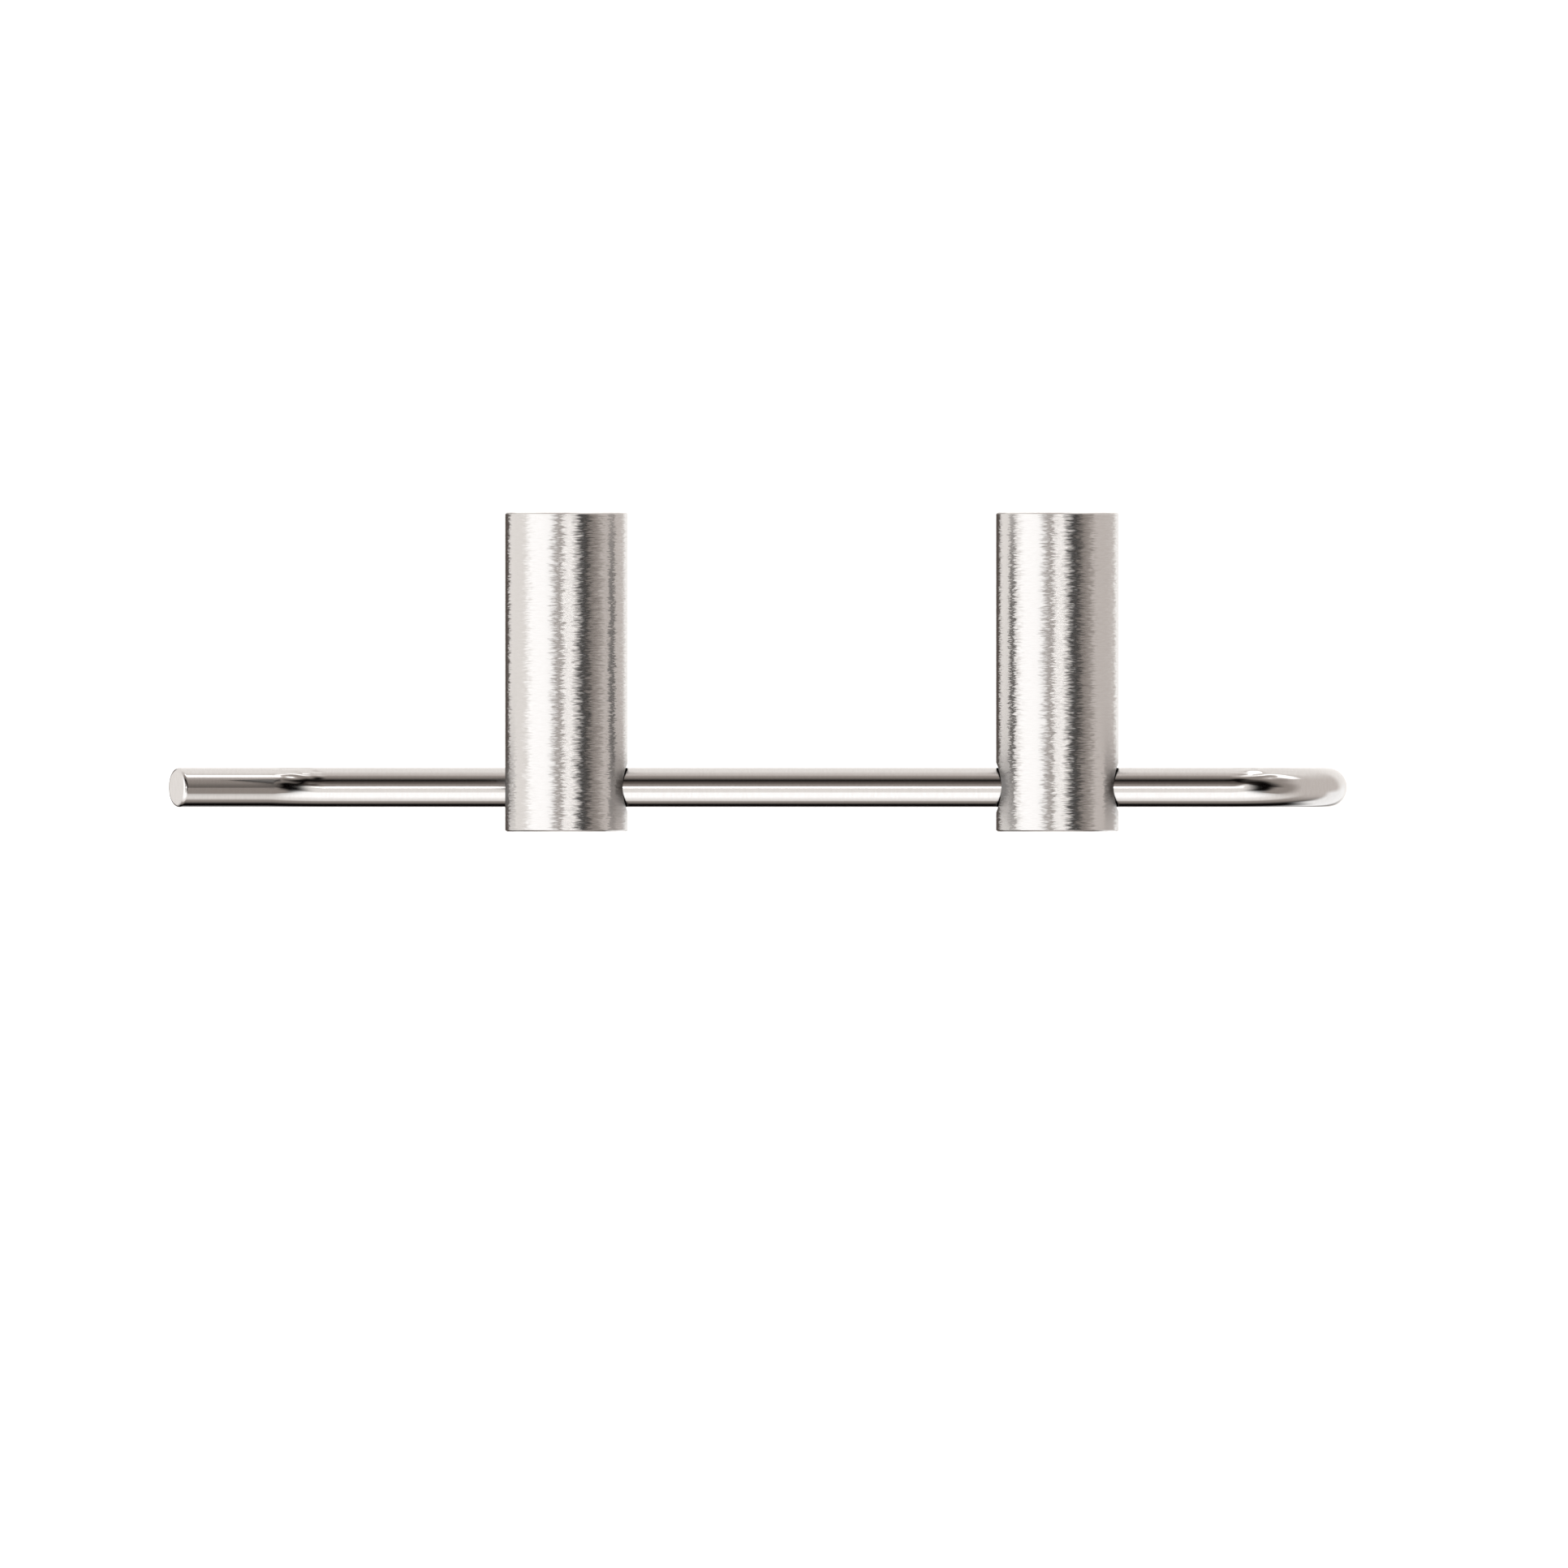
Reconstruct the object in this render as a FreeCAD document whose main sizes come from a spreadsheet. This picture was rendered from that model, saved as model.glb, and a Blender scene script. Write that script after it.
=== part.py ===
import FreeCAD, Part
import math
import os

import Sketcher

# A wall hook rack in brushed stainless steel: two round posts stand out from the wall and hold
# one bent round rail.  The rail's upper leg is clamped in both posts, turns down in a U beyond the
# right-hand post, runs back under both posts and ends in a turned-up tip on the left.
#
# Frame, in millimetres: the origin is on the wall, midway between the posts.  +X runs to the
# right along the rail, +Z is up, and the posts stand out from the wall along -Y.

# alias, size, what it is
SIZES = (
    ("overall_length", 240.0, "rail's U bend to its turned-up tip, over all"),
    ("post_spacing", 100.0, "between the posts' axes, which is also the wall screws' spacing"),
    ("post_diameter", 25.0, "outside of a post"),
    ("post_length", 65.0, "wall to the post's free end"),
    ("post_wall", 2.0, "wall of the post's tube"),
    ("edge_break", 0.3, "chamfer on the posts' and caps' turned edges"),
    ("cap_thickness", 3.0, "disc pressed into the post's free end"),
    ("rail_diameter", 8.0, "round bar of the rail"),
    ("rail_setback", 9.0, "post's free end back to the rail's axis"),
    ("rail_drop", 40.0, "upper leg's axis down to the lower leg's axis"),
    ("rail_past_post", 35.0, "right-hand post's axis to the start of the U bend"),
    ("rail_end_round", 0.8, "rounding of the bar's cut ends"),
    ("tip_length", 20.0, "straight part of the turned-up tip"),
    ("tip_bend_radius", 30.0, "tip bend, to the bar's axis"),
    ("tip_angle", 25.0, "how far the tip turns up, in degrees"),
    ("rail_hole_gap", 1.1, "all round the rail where it enters a post"),
    ("block_length", 18.0, "clamp block along the post"),
    ("block_gap", 0.1, "clamp block in the tube, all round"),
    ("block_edge", 0.6, "chamfer on the clamp block's ends"),
    ("block_bore_gap", 0.05, "rail in the clamp block, all round"),
    ("seat_wall", 1.9, "clamp block left behind the blind bore of the left-hand post"),
    ("rail_end_gap", 0.5, "rail's hidden end to the bottom of its blind bore"),
    ("rail_screw_diameter", 5.0, "M5 set screw that clamps the rail"),
    ("rail_screw_socket", 2.5, "its hexagon socket, across flats and in depth"),
    ("rail_screw_recess", 0.5, "its end, inside the post's underside"),
    ("access_gap", 0.1, "rail screw in the tube's wall, all round"),
    ("spigot_length", 12.0, "wall spigot that the post slides over"),
    ("spigot_gap", 0.1, "wall spigot in the tube, all round"),
    ("spigot_edge", 0.6, "chamfer on the spigot's nose"),
    ("wall_screw_hole", 5.2, "hole for the wall screw"),
    ("countersink", 10.4, "mouth of its countersink"),
    ("groove_place", 7.0, "wall to the middle of the spigot's locking groove"),
    ("groove_depth", 2.1, "depth of the locking groove"),
    ("groove_floor", 0.8, "flat at the bottom of the groove, and the lock screw's flat point"),
    ("lock_screw_diameter", 4.0, "M4 set screw that locks the post on its spigot"),
    ("lock_screw_socket", 2.0, "its hexagon socket, across flats and in depth"),
    ("lock_screw_recess", 0.2, "its end, inside the post's underside"),
    ("screw_edge", 0.4, "chamfer on the set screws' ends"),
)

doc = FreeCAD.newDocument("wall_hook_rack")
sheet = doc.addObject("Spreadsheet::Sheet", "Sizes")
for row, (alias, size, meaning) in enumerate(SIZES, start=1):
    sheet.set(f"A{row}", str(size))
    sheet.setAlias(f"A{row}", alias)
    sheet.set(f"B{row}", meaning)
doc.recompute()

# Lengths that follow from the sizes, as expressions.
OUTER = "Sizes.post_diameter / 2"
BORE = f"({OUTER} - Sizes.post_wall)"
RAIL = "Sizes.rail_diameter / 2"
RAIL_PLACE = "(Sizes.post_length - Sizes.rail_setback)"
BLOCK = f"({BORE} - Sizes.block_gap)"
SPIGOT = f"({BORE} - Sizes.spigot_gap)"
GROOVE_FLOOR = f"({SPIGOT} - Sizes.groove_depth)"
BLIND_BORE_END = f"(Sizes.seat_wall - {BLOCK})"
RAIL_START = f"({BLIND_BORE_END} + Sizes.rail_end_gap - Sizes.post_spacing / 2)"
RAIL_TURN = "(Sizes.post_spacing / 2 + Sizes.rail_past_post)"
LOOP = "Sizes.rail_drop / 2"
# How far the rounded rim of the turned-up end reaches past the end of the bar's axis.
TIP_REACH = (
    f"(Sizes.rail_end_round + ({RAIL} - Sizes.rail_end_round) * sin(Sizes.tip_angle)"
    " - Sizes.rail_end_round * cos(Sizes.tip_angle))"
)
TIP_BEND_START = (
    f"({RAIL_TURN} + {LOOP} + {RAIL} - Sizes.overall_length + {TIP_REACH}"
    " + Sizes.tip_length * cos(Sizes.tip_angle) + Sizes.tip_bend_radius * sin(Sizes.tip_angle))"
)
RAIL_SCREW_END = f"({OUTER} - Sizes.rail_screw_recess)"
LOCK_SCREW_END = f"({OUTER} - Sizes.lock_screw_recess)"

SIDES = {"left": -1, "right": 1}
OUT_FROM_WALL = FreeCAD.Rotation(FreeCAD.Vector(1, 0, 0), 90)
UPRIGHT = FreeCAD.Rotation()
TOLERANCE = 1e-4
LENGTH_ERROR = 0.02
VOLUME_ERROR = 1e-3

nodes = []


def number(expression):
    """The present value of an expression in the sheet's sizes."""
    return float(sheet.evalExpression(expression))


def bind(item, **settings):
    """Tie a feature's properties to expressions, writing a dot in a name as two underscores."""
    for name, expression in settings.items():
        item.setExpression(name.replace("__", "."), expression)


def new_body(label, rotation, x="0", y="0", z="0"):
    """A body of its own for one physical piece, at a place given by expressions."""
    body = doc.addObject("PartDesign::Body", label)
    body.Label = label
    body.Placement = FreeCAD.Placement(FreeCAD.Vector(), rotation)
    bind(body, Placement__Base__x=x, Placement__Base__y=y, Placement__Base__z=z)
    nodes.append(body)
    return body


def new_sketch(body, plane, name, offset="0"):
    """A sketch on one of the body's own origin planes, moved along its normal by the offset."""
    support = next(item for item in body.Origin.OriginFeatures if item.Role == plane)
    sketch = body.newObject("Sketcher::SketchObject", f"{name}_{body.Name}")
    sketch.AttachmentSupport = [(support, "")]
    sketch.MapMode = "FlatFace"
    bind(sketch, AttachmentOffset__Base__z=offset)
    return sketch


def add_circle(sketch, radius, place="0"):
    """A circle on the sketch's vertical axis, at the given height."""
    centre = FreeCAD.Vector(0, number(place), 0)
    circle = sketch.addGeometry(Part.Circle(centre, FreeCAD.Vector(0, 0, 1), number(radius)))
    sketch.addConstraint(Sketcher.Constraint("PointOnObject", circle, 3, -2))
    fix(sketch, radius, "Radius", circle, number(radius))
    if number(place) == 0:
        sketch.addConstraint(Sketcher.Constraint("PointOnObject", circle, 3, -1))
    else:
        fix(sketch, place, "DistanceY", -1, 1, circle, 3, number(place))


def add_hexagon(sketch, across_flats):
    """A regular hexagon about the sketch's origin, with two flats level."""
    corner = number(across_flats) / math.sqrt(3)
    ring = [
        FreeCAD.Vector(corner * math.cos(math.pi * turn / 3), corner * math.sin(math.pi * turn / 3), 0)
        for turn in range(6)
    ]
    for turn in range(6):
        sketch.addGeometry(Part.LineSegment(ring[turn], ring[(turn + 1) % 6]))
    guide = sketch.addGeometry(Part.Circle(FreeCAD.Vector(), FreeCAD.Vector(0, 0, 1), corner), True)
    for turn in range(6):
        sketch.addConstraint(Sketcher.Constraint("Coincident", turn, 2, (turn + 1) % 6, 1))
        sketch.addConstraint(Sketcher.Constraint("PointOnObject", turn, 1, guide))
    for turn in range(5):
        sketch.addConstraint(Sketcher.Constraint("Equal", turn, turn + 1))
    sketch.addConstraint(Sketcher.Constraint("Coincident", guide, 3, -1, 1))
    sketch.addConstraint(Sketcher.Constraint("PointOnObject", 0, 1, -1))
    fix(sketch, f"{across_flats} / sqrt(3)", "Radius", guide, corner)


def fix(sketch, expression, *constraint):
    """Add a dimension to a sketch and tie it to an expression."""
    index = sketch.addConstraint(Sketcher.Constraint(*constraint))
    sketch.setExpression(f"Constraints[{index}]", expression)


def pad(body, sketch, name, length):
    feature = body.newObject("PartDesign::Pad", f"{name}_{body.Name}")
    feature.Profile = sketch
    bind(feature, Length=length)
    doc.recompute()
    return feature


def pocket(body, sketch, name, length, midplane=False):
    """Cut a sketch into the body, forwards from the sketch or to both sides of it."""
    before = body.Shape.Volume
    feature = body.newObject("PartDesign::Pocket", f"{name}_{body.Name}")
    feature.Profile = sketch
    feature.Midplane = midplane
    feature.Reversed = not midplane
    bind(feature, Length=length)
    doc.recompute()
    if body.Shape.Volume >= before - TOLERANCE:
        raise RuntimeError(f"{name} cuts nothing from {body.Label}")
    return feature


def ring_edges(feature, radius, places):
    """Names of the feature's circular edges of one radius about its own Z axis, at given heights."""
    found = []
    for index, edge in enumerate(feature.Shape.Edges, start=1):
        curve = edge.Curve
        if not isinstance(curve, Part.Circle) or abs(curve.Radius - radius) > TOLERANCE:
            continue
        if any(abs(curve.Center.z - place) < TOLERANCE for place in places):
            found.append(f"Edge{index}")
    return found


def chamfer(body, name, radius, places, size):
    """Chamfer the round edges of one radius at the given heights of the piece as it now stands."""
    before = body.Tip
    feature = body.newObject("PartDesign::Chamfer", f"{name}_{body.Name}")
    edges = ring_edges(before, number(radius), [number(place) for place in places])
    if len(edges) != len(places):
        raise RuntimeError(f"{name} of {body.Label} finds {len(edges)} edges, not {len(places)}")
    feature.Base = (before, edges)
    bind(feature, Size=size)
    doc.recompute()
    return feature


def make_post_tube(side, x):
    """A post's tube, with its rail hole or holes and the two screw holes in its underside."""
    body = new_body(f"{side}_post_tube", OUT_FROM_WALL, x=x)
    section = new_sketch(body, "XY_Plane", "section")
    add_circle(section, OUTER)
    add_circle(section, BORE)
    pad(body, section, "tube", "Sizes.post_length")
    chamfer(body, "outer_edges", OUTER, ("0", "Sizes.post_length"), "Sizes.edge_break")

    # The rail goes right through the right-hand post, and only into the left-hand one.
    rail_hole = new_sketch(body, "YZ_Plane", "rail_hole")
    add_circle(rail_hole, f"{RAIL} + Sizes.rail_hole_gap", RAIL_PLACE)
    pocket(body, rail_hole, "rail_opening", "Sizes.post_diameter", midplane=side == "right")

    screw_holes = new_sketch(body, "XZ_Plane", "screw_holes")
    add_circle(screw_holes, "Sizes.rail_screw_diameter / 2 + Sizes.access_gap", RAIL_PLACE)
    add_circle(screw_holes, "Sizes.lock_screw_diameter / 2", "Sizes.groove_place")
    pocket(body, screw_holes, "underside_holes", OUTER)


def make_front_cap(side, x):
    """The disc that closes a post's free end, pressed in flush."""
    body = new_body(f"{side}_front_cap", OUT_FROM_WALL, x=x, y="Sizes.cap_thickness - Sizes.post_length")
    section = new_sketch(body, "XY_Plane", "section")
    add_circle(section, BORE)
    pad(body, section, "disc", "Sizes.cap_thickness")
    chamfer(body, "front_edge", BORE, ("Sizes.cap_thickness",), "Sizes.edge_break")


def make_rail_block(side, x):
    """The block inside a post's free end that holds the rail, backed by the cap."""
    front = "Sizes.post_length - Sizes.cap_thickness"
    bore_place = f"({RAIL_PLACE} - ({front}) + Sizes.block_length)"
    body = new_body(f"{side}_rail_block", OUT_FROM_WALL, x=x, y=f"Sizes.block_length - ({front})")
    section = new_sketch(body, "XY_Plane", "section")
    add_circle(section, BLOCK)
    pad(body, section, "block", "Sizes.block_length")
    chamfer(body, "end_edges", BLOCK, ("0", "Sizes.block_length"), "Sizes.block_edge")

    # On the left the bore is blind and stops the rail's end; on the right it goes through.
    bore_start = BLIND_BORE_END if side == "left" else f"-{BLOCK}"
    bore = new_sketch(body, "YZ_Plane", "rail_bore", offset=bore_start)
    add_circle(bore, f"{RAIL} + Sizes.block_bore_gap", bore_place)
    pocket(body, bore, "rail_seat", "Sizes.post_diameter")

    tapped = new_sketch(body, "XZ_Plane", "tapped_hole")
    add_circle(tapped, "Sizes.rail_screw_diameter / 2", bore_place)
    pocket(body, tapped, "screw_thread", BLOCK)


def make_set_screw(label, x, place, end, tip, size, socket, point_flat=None):
    """A headless set screw from the post's underside up to its tip, with a hexagon socket below."""
    body = new_body(label, UPRIGHT, x=x, y=f"-{place}", z=f"-{end}")
    section = new_sketch(body, "XY_Plane", "section")
    add_circle(section, f"{size} / 2")
    length = f"({end} - {tip})"
    pad(body, section, "shank", length)
    point = "Sizes.screw_edge" if point_flat is None else f"({size} - {point_flat}) / 2"
    chamfer(body, "socket_edge", f"{size} / 2", ("0",), "Sizes.screw_edge")
    chamfer(body, "point", f"{size} / 2", (length,), point)
    hexagon = new_sketch(body, "XY_Plane", "socket")
    add_hexagon(hexagon, socket)
    pocket(body, hexagon, "hexagon", socket)


def make_wall_spigot(side, x):
    """The turned boss screwed to the wall, with a locking groove round it."""
    body = new_body(f"{side}_wall_spigot", OUT_FROM_WALL, x=x)
    section = new_sketch(body, "XY_Plane", "section")
    add_circle(section, SPIGOT)
    add_circle(section, "Sizes.wall_screw_hole / 2")
    pad(body, section, "boss", "Sizes.spigot_length")
    chamfer(body, "nose", SPIGOT, ("Sizes.spigot_length",), "Sizes.spigot_edge")
    chamfer(
        body,
        "countersink",
        "Sizes.wall_screw_hole / 2",
        ("Sizes.spigot_length",),
        "(Sizes.countersink - Sizes.wall_screw_hole) / 2",
    )
    cut_locking_groove(body)


def cut_locking_groove(body):
    """Turn the groove: a flat floor as wide as the lock screw's point, and sides at 45 degrees."""
    before = body.Shape.Volume
    sketch = new_sketch(body, "XZ_Plane", "groove")
    near, far = (f"Sizes.groove_place {sign} Sizes.groove_floor / 2" for sign in "-+")
    corners = (
        (GROOVE_FLOOR, near),
        (SPIGOT, f"{near} - Sizes.groove_depth"),
        (SPIGOT, f"{far} + Sizes.groove_depth"),
        (GROOVE_FLOOR, far),
    )
    points = [FreeCAD.Vector(number(across), number(along), 0) for across, along in corners]
    for index in range(4):
        sketch.addGeometry(Part.LineSegment(points[index], points[(index + 1) % 4]))
    for index in range(4):
        sketch.addConstraint(Sketcher.Constraint("Coincident", index, 2, (index + 1) % 4, 1))
    for index, (across, along) in enumerate(corners):
        fix(sketch, across, "DistanceX", -1, 1, index, 1, number(across))
        fix(sketch, along, "DistanceY", -1, 1, index, 1, number(along))
    groove = body.newObject("PartDesign::Groove", f"locking_groove_{body.Name}")
    groove.Profile = sketch
    groove.ReferenceAxis = (sketch, ["V_Axis"])
    groove.Angle = 360
    doc.recompute()
    if body.Shape.Volume >= before - TOLERANCE:
        raise RuntimeError(f"the locking groove cuts nothing from {body.Label}")


def make_rail():
    """The bent bar: upper leg, U bend, lower leg and turned-up tip, swept along one path."""
    body = new_body("rail", UPRIGHT, y=f"-{RAIL_PLACE}")
    path = new_sketch(body, "XZ_Plane", "path")
    draw_rail_path(path)
    section = new_sketch(body, "YZ_Plane", "section", offset=RAIL_START)
    add_circle(section, RAIL)
    bar = body.newObject("PartDesign::AdditivePipe", "bar")
    bar.Profile = section
    bar.Spine = path
    doc.recompute()
    length = path.Shape.Length
    expected = math.pi * number(RAIL) ** 2 * length
    if abs(bar.Shape.Volume / expected - 1) > VOLUME_ERROR:
        raise RuntimeError("the rail's sweep doesn't have the volume of its section and length")

    ends = body.newObject("PartDesign::Fillet", "cut_ends")
    ends.Base = (bar, end_edges(bar))
    bind(ends, Radius="Sizes.rail_end_round")
    doc.recompute()
    if abs(body.Shape.optimalBoundingBox(False).XLength - number("Sizes.overall_length")) > LENGTH_ERROR:
        raise RuntimeError("the rail isn't as long as the sheet says")


def draw_rail_path(sketch):
    """The rail's centre line in its upright plane, as three straights and two tangent arcs."""
    start, turn = number(RAIL_START), number(RAIL_TURN)
    loop, drop = number(LOOP), number("Sizes.rail_drop")
    bend_start, bend = number(TIP_BEND_START), number("Sizes.tip_bend_radius")
    tip_length, rise = number("Sizes.tip_length"), math.radians(number("Sizes.tip_angle"))
    up = FreeCAD.Vector(0, 0, 1)
    loop_circle = Part.Circle(FreeCAD.Vector(turn, -loop, 0), up, loop)
    bend_circle = Part.Circle(FreeCAD.Vector(bend_start, bend - drop, 0), up, bend)
    tip_start = FreeCAD.Vector(bend_start - bend * math.sin(rise), bend - drop - bend * math.cos(rise), 0)
    tip_end = tip_start + FreeCAD.Vector(-math.cos(rise), math.sin(rise), 0) * tip_length

    upper = sketch.addGeometry(Part.LineSegment(FreeCAD.Vector(start, 0, 0), FreeCAD.Vector(turn, 0, 0)))
    u_bend = sketch.addGeometry(Part.ArcOfCircle(loop_circle, -math.pi / 2, math.pi / 2))
    lower = sketch.addGeometry(
        Part.LineSegment(FreeCAD.Vector(turn, -drop, 0), FreeCAD.Vector(bend_start, -drop, 0))
    )
    tip_bend = sketch.addGeometry(Part.ArcOfCircle(bend_circle, 1.5 * math.pi - rise, 1.5 * math.pi))
    tip = sketch.addGeometry(Part.LineSegment(tip_start, tip_end))

    # An arc's end 1 is where it starts anticlockwise, and its end 2 where it stops.
    for first, first_end, second, second_end in (
        (upper, 2, u_bend, 2),
        (u_bend, 1, lower, 1),
        (lower, 2, tip_bend, 2),
        (tip_bend, 1, tip, 1),
    ):
        sketch.addConstraint(Sketcher.Constraint("Tangent", first, first_end, second, second_end))
    sketch.addConstraint(Sketcher.Constraint("PointOnObject", upper, 1, -1))
    sketch.addConstraint(Sketcher.Constraint("Horizontal", upper))
    sketch.addConstraint(Sketcher.Constraint("Horizontal", lower))
    fix(sketch, f"-({RAIL_START})", "DistanceX", upper, 1, -1, 1, -start)
    fix(sketch, RAIL_TURN, "DistanceX", -1, 1, upper, 2, turn)
    fix(sketch, LOOP, "Radius", u_bend, loop)
    fix(sketch, f"-({TIP_BEND_START})", "DistanceX", lower, 2, -1, 1, -bend_start)
    fix(sketch, "Sizes.tip_bend_radius", "Radius", tip_bend, bend)
    fix(sketch, "Sizes.tip_length", "Distance", tip, 1, tip, 2, tip_length)
    fix(sketch, "Sizes.tip_angle * 1deg", "Angle", tip, 1, lower, 1, rise)


def end_edges(feature):
    """Names of the round edges that bound the swept bar's two flat ends."""
    flat_ends = [face for face in feature.Shape.Faces if isinstance(face.Surface, Part.Plane)]
    found = []
    for index, edge in enumerate(feature.Shape.Edges, start=1):
        if any(edge.isSame(rim) for face in flat_ends for rim in face.Edges):
            found.append(f"Edge{index}")
    if len(found) != 2:
        raise RuntimeError(f"the rail has {len(found)} end edges, not 2")
    return found


def check_document():
    """Stop if any object failed to build, or any piece isn't one valid solid."""
    for item in doc.Objects:
        if {"Invalid", "Error"} & set(item.State):
            raise RuntimeError(f"{item.Label} didn't build: {item.State}")
    for body in nodes:
        shape = body.Shape
        if shape.isNull() or not shape.isValid() or len(shape.Solids) != 1:
            raise RuntimeError(f"{body.Label} isn't one valid solid")


make_rail()
for side, sign in SIDES.items():
    axis_place = f"{sign} * Sizes.post_spacing / 2"
    make_post_tube(side, axis_place)
    make_front_cap(side, axis_place)
    make_rail_block(side, axis_place)
    make_wall_spigot(side, axis_place)
    make_set_screw(
        f"{side}_rail_screw",
        axis_place,
        place=RAIL_PLACE,
        end=RAIL_SCREW_END,
        tip=RAIL,
        size="Sizes.rail_screw_diameter",
        socket="Sizes.rail_screw_socket",
    )
    make_set_screw(
        f"{side}_lock_screw",
        axis_place,
        place="Sizes.groove_place",
        end=LOCK_SCREW_END,
        tip=GROOVE_FLOOR,
        size="Sizes.lock_screw_diameter",
        socket="Sizes.lock_screw_socket",
        point_flat="Sizes.groove_floor",
    )
doc.recompute()
check_document()

os.makedirs("parts", exist_ok=True)
for body in nodes:
    body.Shape.exportStep(f"parts/{body.Label}.step")
    print(f"{body.Label}: {body.Shape.Volume:.1f} mm3")
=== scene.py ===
"""A wall hook rack in stainless steel.

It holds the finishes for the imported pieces, the rail's bent bar, and the studio round the rack.
"""

import math

import bmesh
import bpy
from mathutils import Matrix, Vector, noise


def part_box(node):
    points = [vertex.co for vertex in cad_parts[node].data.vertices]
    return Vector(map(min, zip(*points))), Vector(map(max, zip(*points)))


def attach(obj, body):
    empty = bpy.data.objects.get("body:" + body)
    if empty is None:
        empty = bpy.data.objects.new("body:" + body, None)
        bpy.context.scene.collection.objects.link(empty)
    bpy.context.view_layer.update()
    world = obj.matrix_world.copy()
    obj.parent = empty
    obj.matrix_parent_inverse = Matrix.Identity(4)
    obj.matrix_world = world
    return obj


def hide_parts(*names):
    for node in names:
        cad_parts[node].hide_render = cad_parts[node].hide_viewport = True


bl_info = {
    "name": "Wall Hook Rack",
    "version": (1, 0, 0),
    "blender": (4, 5, 0),
    "location": "View3D > Sidebar > Hook Rack",
    "description": "Bends, finishes and lights a stainless steel wall hook rack",
    "category": "Object",
}

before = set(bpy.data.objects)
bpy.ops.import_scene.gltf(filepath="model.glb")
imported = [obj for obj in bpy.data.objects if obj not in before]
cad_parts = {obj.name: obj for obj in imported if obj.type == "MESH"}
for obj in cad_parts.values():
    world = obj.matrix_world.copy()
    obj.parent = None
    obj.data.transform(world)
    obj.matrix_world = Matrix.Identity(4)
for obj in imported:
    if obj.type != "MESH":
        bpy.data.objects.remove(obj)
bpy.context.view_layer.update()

MM = 0.001
SIDES = ("left", "right")

# Corners round the bar, and the rings that keep a cut end's flat, and the bar's side behind its
# rounding, from being shaded as round.  The rings are shares of the flat's radius and of the rounding.
BAR_CORNERS = 144
FLAT_RING = 0.97
SIDE_RING = 1.2

# How far the ripples run on from the back of the bar towards its front, as the sine of an angle.
RIPPLE_OVERLAP = 0.3

# The painted shade, a near black in the bore and the drilled holes, starts this far under a post's outside,
# and this far in from its two ends.
PAINTED_SHADE_DEPTH = 0.1 * MM
PAINTED_SHADE_FROM_END = 0.4 * MM

# Length over which the bar goes from ground to polished.
POLISH_EDGE = 1 * MM

# Two neighbouring sides of the studio blend where each one's share lies between these.
SIDE_BLEND = 0.12, 0.88

# Places that the frame gives, in metres, to the nearest 0.1 mm.
TUBE_LOW, TUBE_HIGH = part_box("right_post_tube")
POST_AXIS = round((TUBE_LOW.x + TUBE_HIGH.x) / 2, 4)
POST_RADIUS = round((TUBE_HIGH.x - TUBE_LOW.x) / 2, 4)
POST_FRONT = round(TUBE_LOW.y, 4)
RAIL_LOW, RAIL_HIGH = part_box("rail")
RAIL_DEPTH = round((RAIL_LOW.y + RAIL_HIGH.y) / 2, 4)
RAIL_RADIUS = round((RAIL_HIGH.y - RAIL_LOW.y) / 2, 4)
RAIL_DROP = round(RAIL_HIGH.z - RAIL_LOW.z, 4) - 2 * RAIL_RADIUS
U_BEND_START = round(RAIL_HIGH.x, 4) - RAIL_RADIUS - RAIL_DROP / 2

# Sockets of a colour mix, which share their names with those of its other kinds.
FACTOR, FIRST, SECOND, MIXED = 0, 6, 7, 2


def linear(hex_colour):
    """An sRGB hex colour as linear red, green and blue."""
    parts = [int(hex_colour[start : start + 2], 16) / 255 for start in (1, 3, 5)]
    return tuple(p / 12.92 if p <= 0.04045 else ((p + 0.055) / 1.055) ** 2.4 for p in parts)


# What a user would change.


def length(name, description, default):
    """A size property, shown in the scene's own units."""
    return bpy.props.FloatProperty(
        name=name, description=description, default=default, min=0, precision=5, unit="LENGTH"
    )


def share(name, description, default):
    """A number property from 0 to 1."""
    return bpy.props.FloatProperty(
        name=name, description=description, default=default, min=0, max=1, subtype="FACTOR"
    )


def colour(name, description, default):
    """A colour property whose default is an sRGB hex colour."""
    return bpy.props.FloatVectorProperty(
        name=name, description=description, default=linear(default), min=0, max=1, size=3, subtype="COLOR"
    )


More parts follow.
